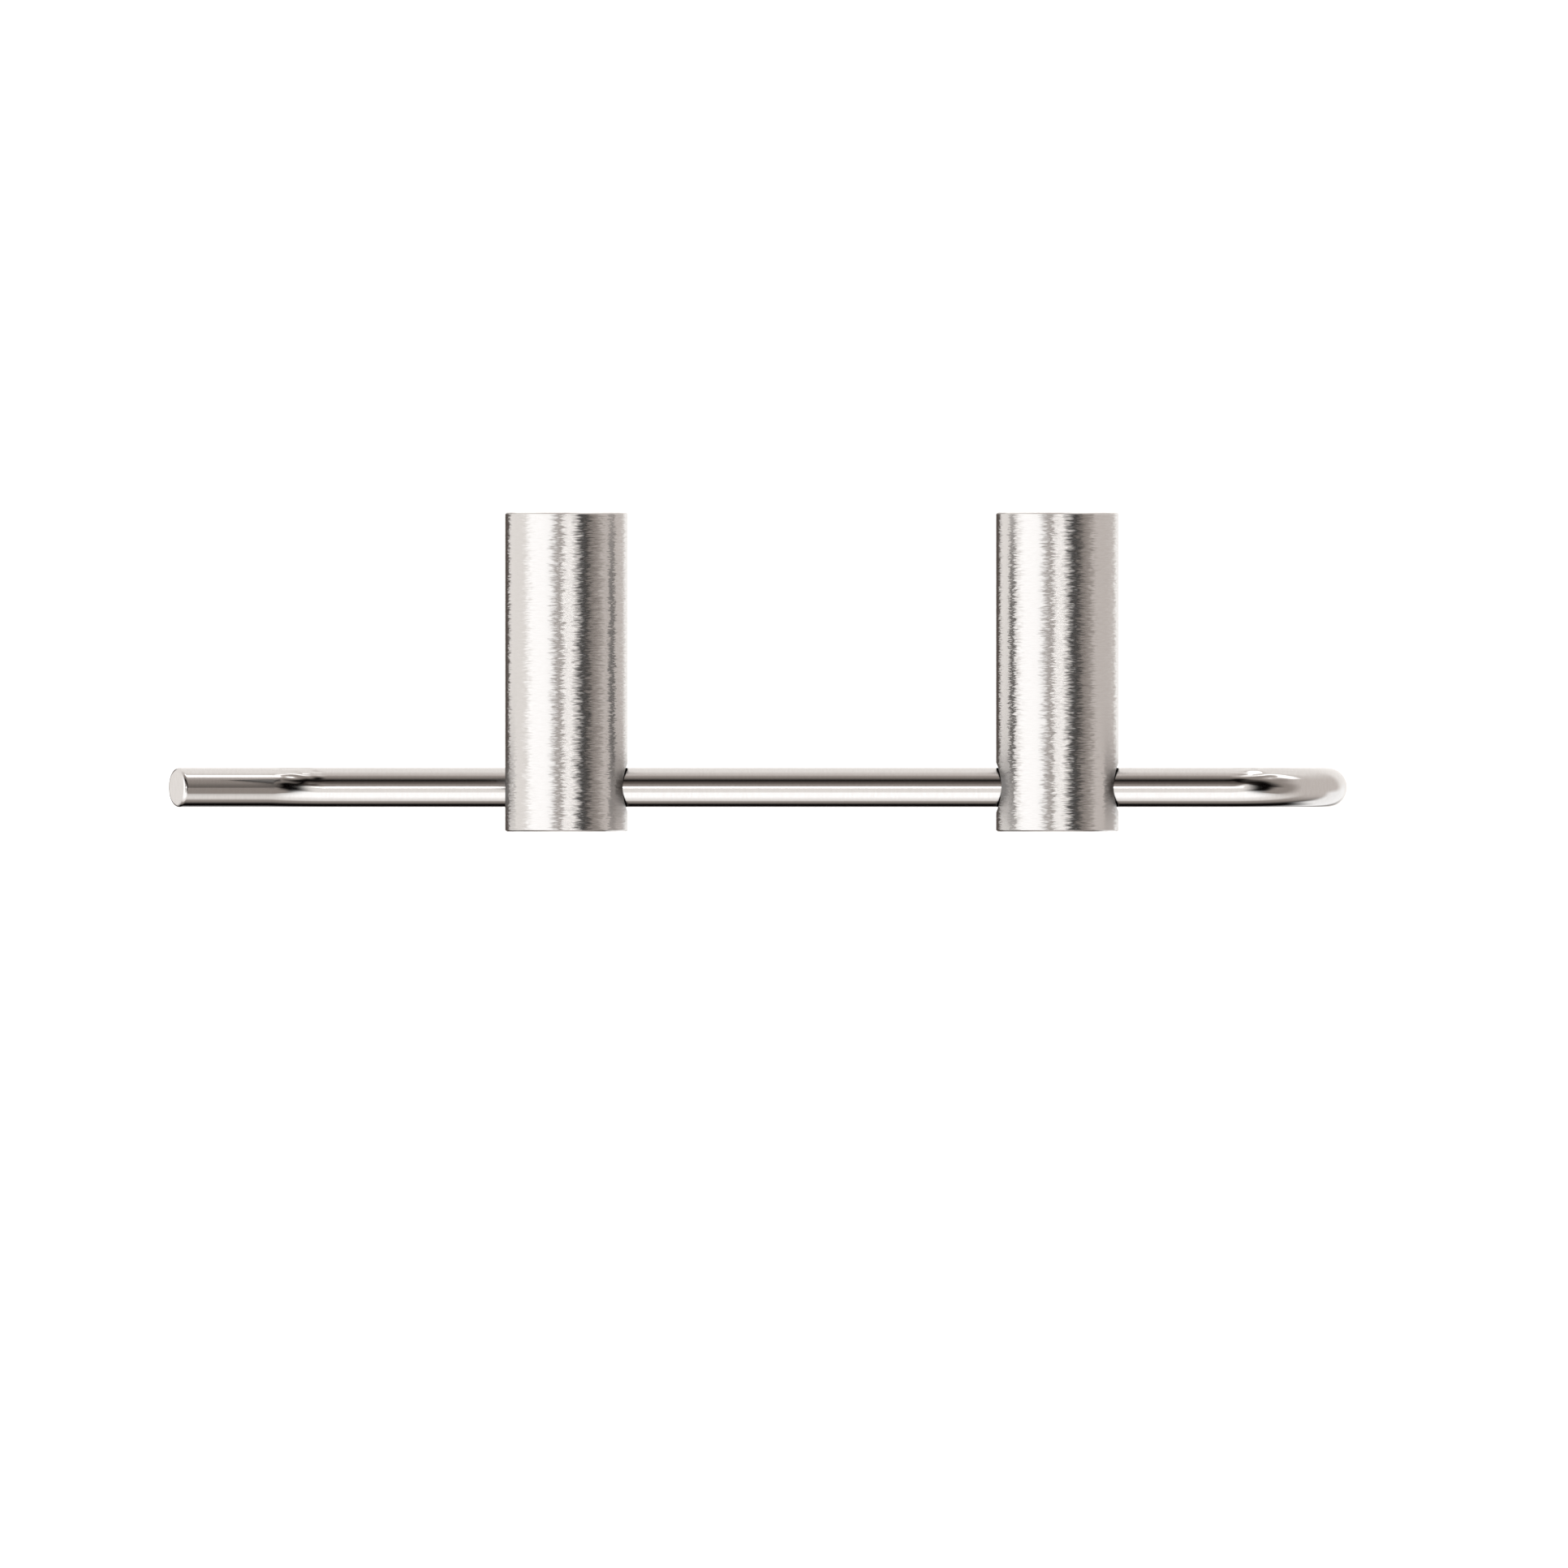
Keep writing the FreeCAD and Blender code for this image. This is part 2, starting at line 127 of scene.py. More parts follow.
class HookRackRail(bpy.types.PropertyGroup):
    """The bent bar: what the frame's box doesn't give of its shape, and its finish"""

    past_left_post: length("Past Left Post", "Hidden end of the bar beyond the left post's axis", 8 * MM)
    tip_bend_radius: length("Tip Bend Radius", "Radius of the bar's axis in the tip bend", 30 * MM)
    tip_length: length("Tip Length", "Straight bar after the tip bend", 20 * MM)
    tip_angle: bpy.props.FloatProperty(
        name="Tip Angle", description="How far the tip turns up", default=math.radians(25), subtype="ANGLE"
    )
    end_round: length("End Rounding", "Rounding of the bar's cut ends", 0.8 * MM)
    ripple_depth: length("Ripple Depth", "Most that a ripple left by bending rises or sinks", 0.24 * MM)
    ripple_length: length("Ripple Length", "Length of a ripple along the bar", 3.2 * MM)
    ripple_width: length("Ripple Width", "Width of a ripple round the bar", 0.75 * MM)
    ripple_reach: length("Ripple Reach", "How far the ripples run into a bend from each end", 16 * MM)
    run_step: length("Run Step", "Longest face on the straight runs", 4 * MM)
    bend_step: length("Bend Step", "Longest face on the bends", 0.35 * MM)
    line_spacing: length("Line Spacing", "Spacing of the grinding lines round the bar", 0.35 * MM)
    line_length: length("Line Length", "Length of a grinding line round the bar", 1.5 * MM)
    line_depth: length("Line Depth", "Depth of the grinding lines", 0.006 * MM)
    ground_roughness: share("Ground Roughness", "Roughness of the straight, ground runs", 0.13)
    polished_roughness: share("Polished Roughness", "Roughness of the bends and the tip", 0.08)
    smear: share("Smear", "How much more the bar blurs what it mirrors along it than round it", 0.5)
    steel: colour("Steel", "Colour of the steel", "#DCDAD9")
    worn_steel: colour("Worn Steel", "Colour in the grinding lines", "#D2CFCD")


class HookRackPosts(bpy.types.PropertyGroup):
    """The finish of the two post tubes"""

    line_spacing: length("Line Spacing", "Spacing of the grinding lines round the post", 0.26 * MM)
    line_length: length("Line Length", "Length of a grinding line round the post", 1.6 * MM)
    line_depth: length("Line Depth", "Depth of the grinding lines", 0.006 * MM)
    line_lean: share("Line Lean", "Most that one line's surface leans round the post, as a slope", 0.37)
    wave_spacing: length("Wave Spacing", "Spacing of the belt's wider waves", 0.5 * MM)
    wave_lean: share("Wave Lean", "Most that a wave's surface leans round the post, as a slope", 0.08)
    roughness: share("Roughness", "Roughness of the ground outside", 0.24)
    smear: share("Smear", "How much more a post blurs what it mirrors along it than round it", 0.9)
    bore_roughness: share("Scale Roughness", "Roughness of the bore and the drilled holes", 0.7)
    steel: colour("Steel", "Colour of the steel", "#DCDAD9")
    worn_steel: colour("Worn Steel", "Colour in the grinding lines", "#D2CFCD")
    # Painted shade: the near black of the bore and the drilled hole walls, where the light doesn't reach.
    scale: colour("Scale", "Colour of the dark bore and hole walls", "#0B0A0A")


class HookRackEnds(bpy.types.PropertyGroup):
    """The finish of the front caps and the wall spigots"""

    ring_spacing: length("Ring Spacing", "Spacing of the rings that the lathe tool leaves", 0.35 * MM)
    ring_depth: length("Ring Depth", "Depth of the rings", 0.004 * MM)
    roughness: share("Roughness", "Roughness of the faced ends", 0.26)
    smear: share("Smear", "How much more an end blurs what it mirrors outwards than round it", 0.8)
    steel: colour("Steel", "Colour of the steel", "#DCDAD9")
    worn_steel: colour("Worn Steel", "Colour in the rings", "#CECBC8")


class HookRackBlocks(bpy.types.PropertyGroup):
    """The finish of the clamp blocks inside the posts"""

    grain: length("Grain", "Size of the dimples that blasting leaves", 0.3 * MM)
    grain_depth: length("Grain Depth", "Depth of the dimples", 0.006 * MM)
    roughness: share("Roughness", "Roughness of the anodised surface", 0.42)
    black: colour("Black", "Colour of the dyed oxide", "#0C0C0D")
    grey: colour("Grey", "Colour of the dimples' rims", "#17171A")


class HookRackScrews(bpy.types.PropertyGroup):
    """The finish of the set screws"""

    mark_spacing: length("Mark Spacing", "Spacing of the turning marks on the screws' ends", 0.25 * MM)
    mark_depth: length("Mark Depth", "Depth of the turning marks", 0.004 * MM)
    roughness: share("Roughness", "Roughness of the screws", 0.3)
    steel: colour("Steel", "Colour of the steel", "#C9C6C3")
    worn_steel: colour("Worn Steel", "Colour in the turning marks", "#A7A39F")


class HookRackStudio(bpy.types.PropertyGroup):
    """The studio: what the steel mirrors, the floor and the camera"""

    brightness: bpy.props.FloatProperty(
        name="Brightness", description="Brightness of the studio in the steel", default=1.5, min=0
    )
    between_pieces: share("Between Pieces", "Share of the brightness that a second reflection shows", 0.3)
    floor_drop: length("Floor Drop", "How far the floor lies below the rack", 0.6)
    floor_width: length("Floor Width", "Width of the floor", 8)
    floor: colour("Floor", "Colour of the floor", "#F2F2F2")
    lamp_power: bpy.props.FloatProperty(
        name="Lamp Power", description="Power of the lamp over the floor", default=70, min=0, unit="POWER"
    )
    lamp_height: length("Lamp Height", "Height of the lamp over the rack", 2)
    lamp_width: length("Lamp Width", "Width of the lamp", 3)
    view_width: length("View Width", "Width of the picture at the rack", 319.4 * MM)
    camera_height: length("Camera Height", "Height of the camera over the rack", 0.5)
    camera_shift: bpy.props.FloatVectorProperty(
        name="Camera Place", description="Point over which the camera hangs, right and front",
        default=(-5.7 * MM, -55.3 * MM), size=2, subtype="XYZ_LENGTH", precision=4
    )


class HookRackSettings(bpy.types.PropertyGroup):
    """All settings of the hook rack"""

    rail: bpy.props.PointerProperty(type=HookRackRail)
    posts: bpy.props.PointerProperty(type=HookRackPosts)
    ends: bpy.props.PointerProperty(type=HookRackEnds)
    blocks: bpy.props.PointerProperty(type=HookRackBlocks)
    screws: bpy.props.PointerProperty(type=HookRackScrews)
    studio: bpy.props.PointerProperty(type=HookRackStudio)


# Nodes and the patterns made of them.


def add(tree, kind, inputs=(), **settings):
    """Add a node with its settings and its inputs.

    An input is a number, a colour, a socket, or a node, which stands for its first output.
    """
    node = tree.nodes.new(kind)
    for name, value in settings.items():
        setattr(node, name, value)
    for name, value in inputs.items() if isinstance(inputs, dict) else enumerate(inputs):
        if isinstance(value, bpy.types.Node):
            value = value.outputs[0]
        if isinstance(value, bpy.types.NodeSocket):
            tree.links.new(value, node.inputs[name])
        else:
            node.inputs[name].default_value = value
    return node


def new_material(name):
    """An empty material, its node tree, and the place on the object in metres."""
    material = bpy.data.materials.new(name)
    material.use_nodes = True
    tree = material.node_tree
    tree.nodes.clear()
    return material, tree, add(tree, "ShaderNodeTexCoord").outputs["Object"]


def streaks(tree, place, size):
    """Noise from 0 to 1 in streaks of one size along each axis, in metres."""
    scale = tuple(1 / part for part in size)
    stretched = add(tree, "ShaderNodeVectorMath", (place, scale), operation="MULTIPLY")
    return add(tree, "ShaderNodeTexNoise", {"Vector": stretched, "Scale": 1, "Detail": 2, "Roughness": 0.55})


def from_post_axis(tree, place):
    """The way from the nearer post's axis to a place, square to the axis."""
    x, _, z = add(tree, "ShaderNodeSeparateXYZ", (place,)).outputs
    side = add(tree, "ShaderNodeMath", (x,), operation="SIGN")
    axis = add(tree, "ShaderNodeMath", (side, POST_AXIS), operation="MULTIPLY")
    across = add(tree, "ShaderNodeMath", (x, axis), operation="SUBTRACT")
    return add(tree, "ShaderNodeCombineXYZ", {"X": across, "Z": z})


def spread_direction(tree, place):
    """Where highlights spread: along the post on its outside, and outwards from its middle on its ends."""
    return add(tree, "ShaderNodeVectorMath", (from_post_axis(tree, place), (0, 1, 0)), operation="ADD")


def finish_material(tree, **inputs):
    """Close a material with one principled shader."""
    named = {name.replace("_", " "): value for name, value in inputs.items()}
    shader = add(tree, "ShaderNodeBsdfPrincipled", named)
    add(tree, "ShaderNodeOutputMaterial", {"Surface": shader})


def belt_ground_tube_steel(look):
    """Stainless steel tube, ground round its outside with a grit 240 belt.

    The lines run round the post, so what it mirrors stays sharp round the post and smears along it, and
    each line leans a little by itself, which frays the edges of the stripes.  Real lines are 0.05 mm
    apart; they are drawn 0.26 mm apart to show.  The bore and the drilled holes are painted near black, as
    painted shade.
    """
    material, tree, place = new_material("Stainless steel tube, belt ground")
    lines = streaks(tree, place, (look.line_length, look.line_spacing, look.line_length))
    waves = streaks(tree, place, (look.line_length, look.wave_spacing, look.line_length))
    normal = add(tree, "ShaderNodeNewGeometry").outputs["Normal"]
    around = add(tree, "ShaderNodeVectorMath", ((0, 1, 0), normal), operation="CROSS_PRODUCT")
    centred = add(tree, "ShaderNodeMath", (lines, 0.5), operation="SUBTRACT")
    lean = add(tree, "ShaderNodeMath", (centred, look.line_lean), operation="MULTIPLY")
    centred = add(tree, "ShaderNodeMath", (waves, 0.5), operation="SUBTRACT")
    lean = add(tree, "ShaderNodeMath", (centred, look.wave_lean, lean), operation="MULTIPLY_ADD")
    leaning = add(tree, "ShaderNodeVectorMath", (around, lean, normal), operation="MULTIPLY_ADD")
    leaning = add(tree, "ShaderNodeVectorMath", (leaning,), operation="NORMALIZE")
    grooved = add(tree, "ShaderNodeBump", {"Height": lines, "Distance": look.line_depth, "Normal": leaning})

    # Painted shade: the bore and the drilled hole walls, inside the post's outer skin and away from its
    # ends, are painted near black and made rougher.
    radius = add(tree, "ShaderNodeVectorMath", (from_post_axis(tree, place),), operation="LENGTH")
    inputs = (radius.outputs["Value"], POST_RADIUS - PAINTED_SHADE_DEPTH)
    inside = add(tree, "ShaderNodeMath", inputs, operation="LESS_THAN")
    inputs = (
        add(tree, "ShaderNodeSeparateXYZ", (place,)).outputs["Y"],
        POST_FRONT / 2,
        -POST_FRONT / 2 - PAINTED_SHADE_FROM_END,
    )
    between_ends = add(tree, "ShaderNodeMath", inputs, operation="COMPARE")
    painted_shade_mask = add(tree, "ShaderNodeMath", (inside, between_ends), operation="MULTIPLY")
    inputs = {FACTOR: lines, FIRST: (*look.worn_steel, 1), SECOND: (*look.steel, 1)}
    steel = add(tree, "ShaderNodeMix", inputs, data_type="RGBA").outputs[MIXED]
    inputs = {FACTOR: painted_shade_mask, FIRST: steel, SECOND: (*look.scale, 1)}
    steel = add(tree, "ShaderNodeMix", inputs, data_type="RGBA").outputs[MIXED]
    inputs = {"Value": painted_shade_mask, "To Min": look.roughness, "To Max": look.bore_roughness}
    finish_material(
        tree, Base_Color=steel, Metallic=1, Roughness=add(tree, "ShaderNodeMapRange", inputs),
        Anisotropic=look.smear, Tangent=spread_direction(tree, place), Normal=grooved
    )
    return material


def ground_bar_steel(look):
    """Stainless steel bar, ground round its straight runs and polished on its bends and its tip.

    The ground runs blur what they mirror more along the bar than round it.  The polished bends mirror
    more clearly.  Real lines are 0.05 mm apart; they are drawn 0.35 mm apart to show.
    """
    material, tree, place = new_material("Stainless steel bar, ground and polished")
    x = add(tree, "ShaderNodeSeparateXYZ", (place,)).outputs["X"]
    inputs = {"Value": x, "From Min": U_BEND_START - POLISH_EDGE, "From Max": U_BEND_START}
    at_u_bend = add(tree, "ShaderNodeMapRange", inputs)
    near_tip = tip_bend_start(look) + POLISH_EDGE
    inputs = {"Value": x, "From Min": near_tip + POLISH_EDGE, "From Max": near_tip}
    at_tip = add(tree, "ShaderNodeMapRange", inputs)
    polished = add(tree, "ShaderNodeMath", (at_u_bend, at_tip), operation="ADD")
    lines = streaks(tree, place, (look.line_spacing, look.line_length, look.line_length))
    ground = add(tree, "ShaderNodeMath", (1, polished), operation="SUBTRACT")
    height = add(tree, "ShaderNodeMath", (lines, ground), operation="MULTIPLY")
    grooved = add(tree, "ShaderNodeBump", {"Height": height, "Distance": look.line_depth})
    inputs = {FACTOR: lines, FIRST: (*look.worn_steel, 1), SECOND: (*look.steel, 1)}
    steel = add(tree, "ShaderNodeMix", inputs, data_type="RGBA").outputs[MIXED]
    inputs = {"Value": polished, "To Min": look.ground_roughness, "To Max": look.polished_roughness}
    roughness = add(tree, "ShaderNodeMapRange", inputs)
    along = add(tree, "ShaderNodeAttribute", attribute_name="along").outputs["Vector"]
    finish_material(
        tree, Base_Color=steel, Metallic=1, Roughness=roughness,
        Anisotropic=look.smear, Tangent=along, Normal=grooved
    )
    return material


def faced_steel(look):
    """Stainless steel end, faced on a lathe.

    Its rings spread what it mirrors outwards from the middle, as two brighter wedges that turn with the
    light.  Real rings are 0.1 mm apart; they are drawn 0.35 mm apart to show.
    """
    material, tree, place = new_material("Stainless steel, faced on the lathe")
    radius = add(tree, "ShaderNodeVectorMath", (from_post_axis(tree, place),), operation="LENGTH")
    ring = add(tree, "ShaderNodeMath", (radius.outputs["Value"], look.ring_spacing), operation="DIVIDE")
    rings = add(tree, "ShaderNodeTexNoise", {"W": ring, "Scale": 1, "Detail": 2}, noise_dimensions="1D")
    grooved = add(tree, "ShaderNodeBump", {"Height": rings, "Distance": look.ring_depth})
    inputs = {FACTOR: rings, FIRST: (*look.worn_steel, 1), SECOND: (*look.steel, 1)}
    steel = add(tree, "ShaderNodeMix", inputs, data_type="RGBA").outputs[MIXED]
    finish_material(
        tree, Base_Color=steel, Metallic=1, Roughness=look.roughness,
        Anisotropic=look.smear, Tangent=spread_direction(tree, place), Normal=grooved
    )
    return material


def anodised_aluminium(look):
    """Aluminium, bead blasted and anodised black.

    The dyed oxide film is what shows, with its own IOR of about 1.65: a soft satin black, dimpled by the
    glass beads.
    """
    material, tree, place = new_material("Aluminium, blasted and black anodised")
    dimples = streaks(tree, place, (look.grain, look.grain, look.grain))
    grooved = add(tree, "ShaderNodeBump", {"Height": dimples, "Distance": look.grain_depth})
    inputs = {FACTOR: dimples, FIRST: (*look.black, 1), SECOND: (*look.grey, 1)}
    oxide = add(tree, "ShaderNodeMix", inputs, data_type="RGBA").outputs[MIXED]
    finish_material(tree, Base_Color=oxide, Metallic=0, Roughness=look.roughness, IOR=1.65, Normal=grooved)
    return material


def turned_screw_steel(look):
    """Stainless steel set screw, turned and left as machined.

    It is a little darker than the ground steel, with turning marks that catch the light.
    """
    material, tree, place = new_material("Stainless steel screw, turned")
    marks = streaks(tree, place, (look.mark_spacing, look.mark_spacing, look.mark_spacing))
    grooved = add(tree, "ShaderNodeBump", {"Height": marks, "Distance": look.mark_depth})
    inputs = {FACTOR: marks, FIRST: (*look.worn_steel, 1), SECOND: (*look.steel, 1)}
    steel = add(tree, "ShaderNodeMix", inputs, data_type="RGBA").outputs[MIXED]
    finish_material(tree, Base_Color=steel, Metallic=1, Roughness=look.roughness, Normal=grooved)
    return material


def dress(node, material):
    """Give a CAD node its finish."""
    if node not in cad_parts:
        raise RuntimeError(f"the frame has no piece named {node}")
    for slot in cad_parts[node].material_slots:
        slot.material = material


# The bent bar.


def tip_bend_start(look):
    """Where along X the lower run ends, from the bar's leftmost point."""
    sine = math.sin(look.tip_angle)
    cosine = math.cos(look.tip_angle)
    overhang = look.end_round * (1 - cosine) + (RAIL_RADIUS - look.end_round) * sine
    return round(RAIL_LOW.x, 4) + overhang + look.tip_length * cosine + look.tip_bend_radius * sine


def bar_axes(heading):
    """Directions along the bar, and square to it, away from the middle of its bends."""
    along = Vector((math.cos(heading), 0, -math.sin(heading)))
    outwards = Vector((math.sin(heading), 0, math.cos(heading)))
    return along, outwards


def bar_route(look):
    """Stations along the bar.

    Each is its distance along the bar, its point on the axis, the bar's heading below +X, and its share
    of the ripples.  The last run, the tip, has no bend after it.
    """
    start = -POST_AXIS - look.past_left_post
    runs = U_BEND_START - start, U_BEND_START - tip_bend_start(look), look.tip_length
    bends = (RAIL_DROP / 2, math.pi), (look.tip_bend_radius, look.tip_angle), (0, 0)
    point = Vector((start, RAIL_DEPTH, 0))
    heading = 0
    travelled = 0
    stations = [(travelled, point, heading, 0)]
    for run, (radius, turn) in zip(runs, bends):
        steps = math.ceil(run / look.run_step)
        for _ in range(steps):
            point = point + run / steps * bar_axes(heading)[0]
            travelled += run / steps
            stations.append((travelled, point, heading, 0))
        centre = point - radius * bar_axes(heading)[1]
        bend = radius * turn
        steps = math.ceil(bend / look.bend_step)
        for step in range(1, steps + 1):
            heading += turn / steps
            travelled += bend / steps
            point = centre + radius * bar_axes(heading)[1]
            from_run = bend / steps * min(step, steps - step)
            rippling = min(from_run / look.ripple_length, 1) * max(1 - from_run / look.ripple_reach, 0)
            stations.append((travelled, point, heading, rippling))
    return stations


def rounded_end(look, station, inwards):
    """Rings of a cut end, from its flat to the bar's full radius.  Inwards is 1 or -1 along the bar."""
    travelled, point, heading, _ = station
    flat = RAIL_RADIUS - look.end_round
    profile = [(0, FLAT_RING * flat)]
    for turn in (math.radians(degrees) for degrees in range(0, 91, 10)):
        profile.append((look.end_round * (1 - math.cos(turn)), flat + look.end_round * math.sin(turn)))
    profile.append((SIDE_RING * look.end_round, RAIL_RADIUS))
    along = inwards * bar_axes(heading)[0]
    return [((travelled, point + back * along, heading, 0), radius) for back, radius in profile]


def ripple(look, travelled, angle):
    """Height of the ripples that the bender leaves on the back of the bar.

    It is read at a distance along the bar and an angle round it.
    """
    turn = RAIL_RADIUS / look.ripple_width
    place = Vector((travelled / look.ripple_length, turn * math.cos(angle), turn * math.sin(angle)))
    at_back = max(math.sin(angle) + RIPPLE_OVERLAP, 0) / (1 + RIPPLE_OVERLAP)
    return look.ripple_depth * at_back * noise.noise(place)


def bend_bar(look):
    """The bar as one closed mesh, with the direction along it kept for its ground finish.

    On the flat of a cut end, which faces along the bar, that direction is one across the flat.
    """
    route = bar_route(look)
    rings = rounded_end(look, route[0], 1)
    rings += [(station, RAIL_RADIUS) for station in route[1:-1]]
    rings += reversed(rounded_end(look, route[-1], -1))
    mesh = bmesh.new()
    loops = []
    directions = []
    for (travelled, point, heading, rippling), radius in rings:
        along, outwards = bar_axes(heading)
        loop = []
        for corner in range(BAR_CORNERS):
            angle = 2 * math.pi * corner / BAR_CORNERS
            away = math.cos(angle) * outwards + math.sin(angle) * Vector((0, 1, 0))
            height = rippling * ripple(look, travelled, angle) if rippling else 0
            loop.append(mesh.verts.new(point + (radius + height) * away))
            directions.extend(along if radius > RAIL_RADIUS - look.end_round / 2 else outwards)
        loops.append(loop)
    for low, high in zip(loops, loops[1:]):
        for corner in range(BAR_CORNERS):
            following = (corner + 1) % BAR_CORNERS
            mesh.faces.new((low[corner], high[corner], high[following], low[following]))
    mesh.faces.new(loops[0])
    mesh.faces.new(reversed(loops[-1]))
    bmesh.ops.recalc_face_normals(mesh, faces=mesh.faces)
    for face in mesh.faces:
        face.smooth = True
    data = bpy.data.meshes.new("rail_bar")
    mesh.to_mesh(data)
    mesh.free()
    data.attributes.new("along", "FLOAT_VECTOR", "POINT").data.foreach_set("vector", directions)
    return data


# Operators, one for each piece or group of like pieces, and one for the stage.


class HOOKRACK_OT_rail(bpy.types.Operator):
    """Bend the rail's bar and give it its ground and polished steel"""

    bl_idname = "hookrack.rail"
    bl_label = "Bend the Rail"

    def execute(self, context):
        look = context.scene.hook_rack.rail
        piece = bpy.data.objects.new("rail_bar", bend_bar(look))
        context.scene.collection.objects.link(piece)
        piece.data.materials.append(ground_bar_steel(look))
        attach(piece, "root")
        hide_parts("rail")
        return {"FINISHED"}


class HOOKRACK_OT_post_tubes(bpy.types.Operator):
    """Grind the two post tubes"""

    bl_idname = "hookrack.post_tubes"
    bl_label = "Grind the Post Tubes"

    def execute(self, context):
        steel = belt_ground_tube_steel(context.scene.hook_rack.posts)
        for side in SIDES:
            dress(f"{side}_post_tube", steel)
        return {"FINISHED"}


class HOOKRACK_OT_ends(bpy.types.Operator):
    """Face the front caps and the wall spigots"""

    bl_idname = "hookrack.ends"
    bl_label = "Face the Caps and Spigots"

    def execute(self, context):
        steel = faced_steel(context.scene.hook_rack.ends)
        for side in SIDES:
            dress(f"{side}_front_cap", steel)
            dress(f"{side}_wall_spigot", steel)
        return {"FINISHED"}


class HOOKRACK_OT_rail_blocks(bpy.types.Operator):
    """Anodise the clamp blocks inside the posts"""

    bl_idname = "hookrack.rail_blocks"
    bl_label = "Anodise the Rail Blocks"

    def execute(self, context):
        black = anodised_aluminium(context.scene.hook_rack.blocks)
        for side in SIDES:
            dress(f"{side}_rail_block", black)
        return {"FINISHED"}


class HOOKRACK_OT_screws(bpy.types.Operator):
    """Finish the set screws that hold the rail and lock the posts"""

    bl_idname = "hookrack.screws"
    bl_label = "Turn the Set Screws"

    def execute(self, context):
        steel = turned_screw_steel(context.scene.hook_rack.screws)
        for side in SIDES:
            dress(f"{side}_rail_screw", steel)
            dress(f"{side}_lock_screw", steel)
        return {"FINISHED"}


# What the studio is made of: white soft boxes, pale sheet, grey cloth, grey card, dark cloth, black felt.
WHITE, PALE, CLOTH = "#FFFFFF", "#DCD9D6", "#BAB4B0"
CARD, DARK, BLACK = "#8A837E", "#504945", "#060404"

# The four sides of the studio, by where each one stands, right and back.  Each is a list of angles
# from straight overhead, in degrees, and what stands there.
TENT = {
    # Black felt high on the right, with card and cloth below it and a pale sheet on the ground.
    (1, 0): (
        (0, PALE), (15, PALE), (30, BLACK), (40, BLACK), (60, CARD), (80, CLOTH), (130, CLOTH),
        (145, PALE)
    ),
    # A wide soft box on the left, with a card between it and the overhead light, and a dark ground.
    (-1, 0): (
        (0, PALE), (15, CARD), (35, WHITE), (70, WHITE), (90, PALE), (130, PALE), (145, DARK)
    ),
    # A soft box at the front, with pale sheet and card below it and black felt on the ground.
    (0, -1): (
        (0, PALE), (25, PALE), (35, WHITE), (55, WHITE), (80, PALE), (95, CARD), (120, BLACK),
        (140, BLACK), (160, DARK), (175, PALE)
    ),
    # Black felt high at the back, with card and cloth below it and a pale sheet on the ground.
    (0, 1): (
        (0, PALE), (10, CARD), (30, DARK), (40, BLACK), (65, CARD), (80, CLOTH), (110, PALE)
    ),
}

# The panels that hang in the studio: where each one hangs and which way its width runs, both as
# right, back and up, then its width and height in degrees, the softness of each, and its light.
PANELS = (
    # A strip light overhead, long from left to right.
    ((0.05, 0, 1), (1, 0, -0.05), (20, 7), (0.25, 0.25), WHITE, 2),
    # A long soft box behind on the right, just above the rack's own level.
    ((0.5, 0.87, 0.1), (-0.87, 0.5, 0), (40, 12), (0.25, 0.25), WHITE, 1.2),
    # A white reflector on the ground at the front on the right.
    ((0.5, -0.4, -0.77), (0.62, 0.78, 0), (40, 40), (0.3, 0.3), WHITE, 0.8),
    # A grey card high on the right, with sharp edges at its front and back.
    ((0.73, -0.3, 0.61), (0.38, 0.92, 0), (30, 20), (0.05, 0.6), CARD, 1),
)


def tent_side(tree, angle, stops):
    """The greys of one side of the tent, blended from stop to stop."""
    ramp = add(tree, "ShaderNodeValToRGB", (angle,))
    ramp.color_ramp.interpolation = "EASE"
    elements = ramp.color_ramp.elements
    elements.remove(elements[0])
    for index, (degrees, grey) in enumerate(stops):
        element = elements[0] if index == 0 else elements.new(degrees / 180)
        element.position = degrees / 180
        element.color = (*linear(grey), 1)
    return ramp


def hang_panel(tree, studio, direction, towards, across, size, softness, hex_colour, brightness):
    """Hang a panel in the tent.  Size is its width and height in degrees; softness is a share of each."""
    towards = Vector(towards)
    shape = None
    for axis, angle, soft in zip((Vector(across), towards.cross(across)), size, softness):
        off = add(tree, "ShaderNodeVectorMath", (direction, axis.normalized()), operation="DOT_PRODUCT")
        off = add(tree, "ShaderNodeMath", (off.outputs["Value"],), operation="ABSOLUTE")
        edge = math.sin(math.radians(angle / 2))
        inputs = {"Value": off, "From Min": edge * (1 + soft), "From Max": edge * (1 - soft)}
        mask = add(tree, "ShaderNodeMapRange", inputs, interpolation_type="SMOOTHSTEP")
        shape = mask if shape is None else add(tree, "ShaderNodeMath", (shape, mask), operation="MULTIPLY")
    facing = add(tree, "ShaderNodeVectorMath", (direction, towards), operation="DOT_PRODUCT")
    front = add(tree, "ShaderNodeMath", (facing.outputs["Value"], 0), operation="GREATER_THAN")
    shape = add(tree, "ShaderNodeMath", (shape, front), operation="MULTIPLY")
    inputs = {FACTOR: shape, FIRST: studio, SECOND: (*brightness * Vector(linear(hex_colour)), 1)}
    return add(tree, "ShaderNodeMix", inputs, data_type="RGBA").outputs[MIXED]


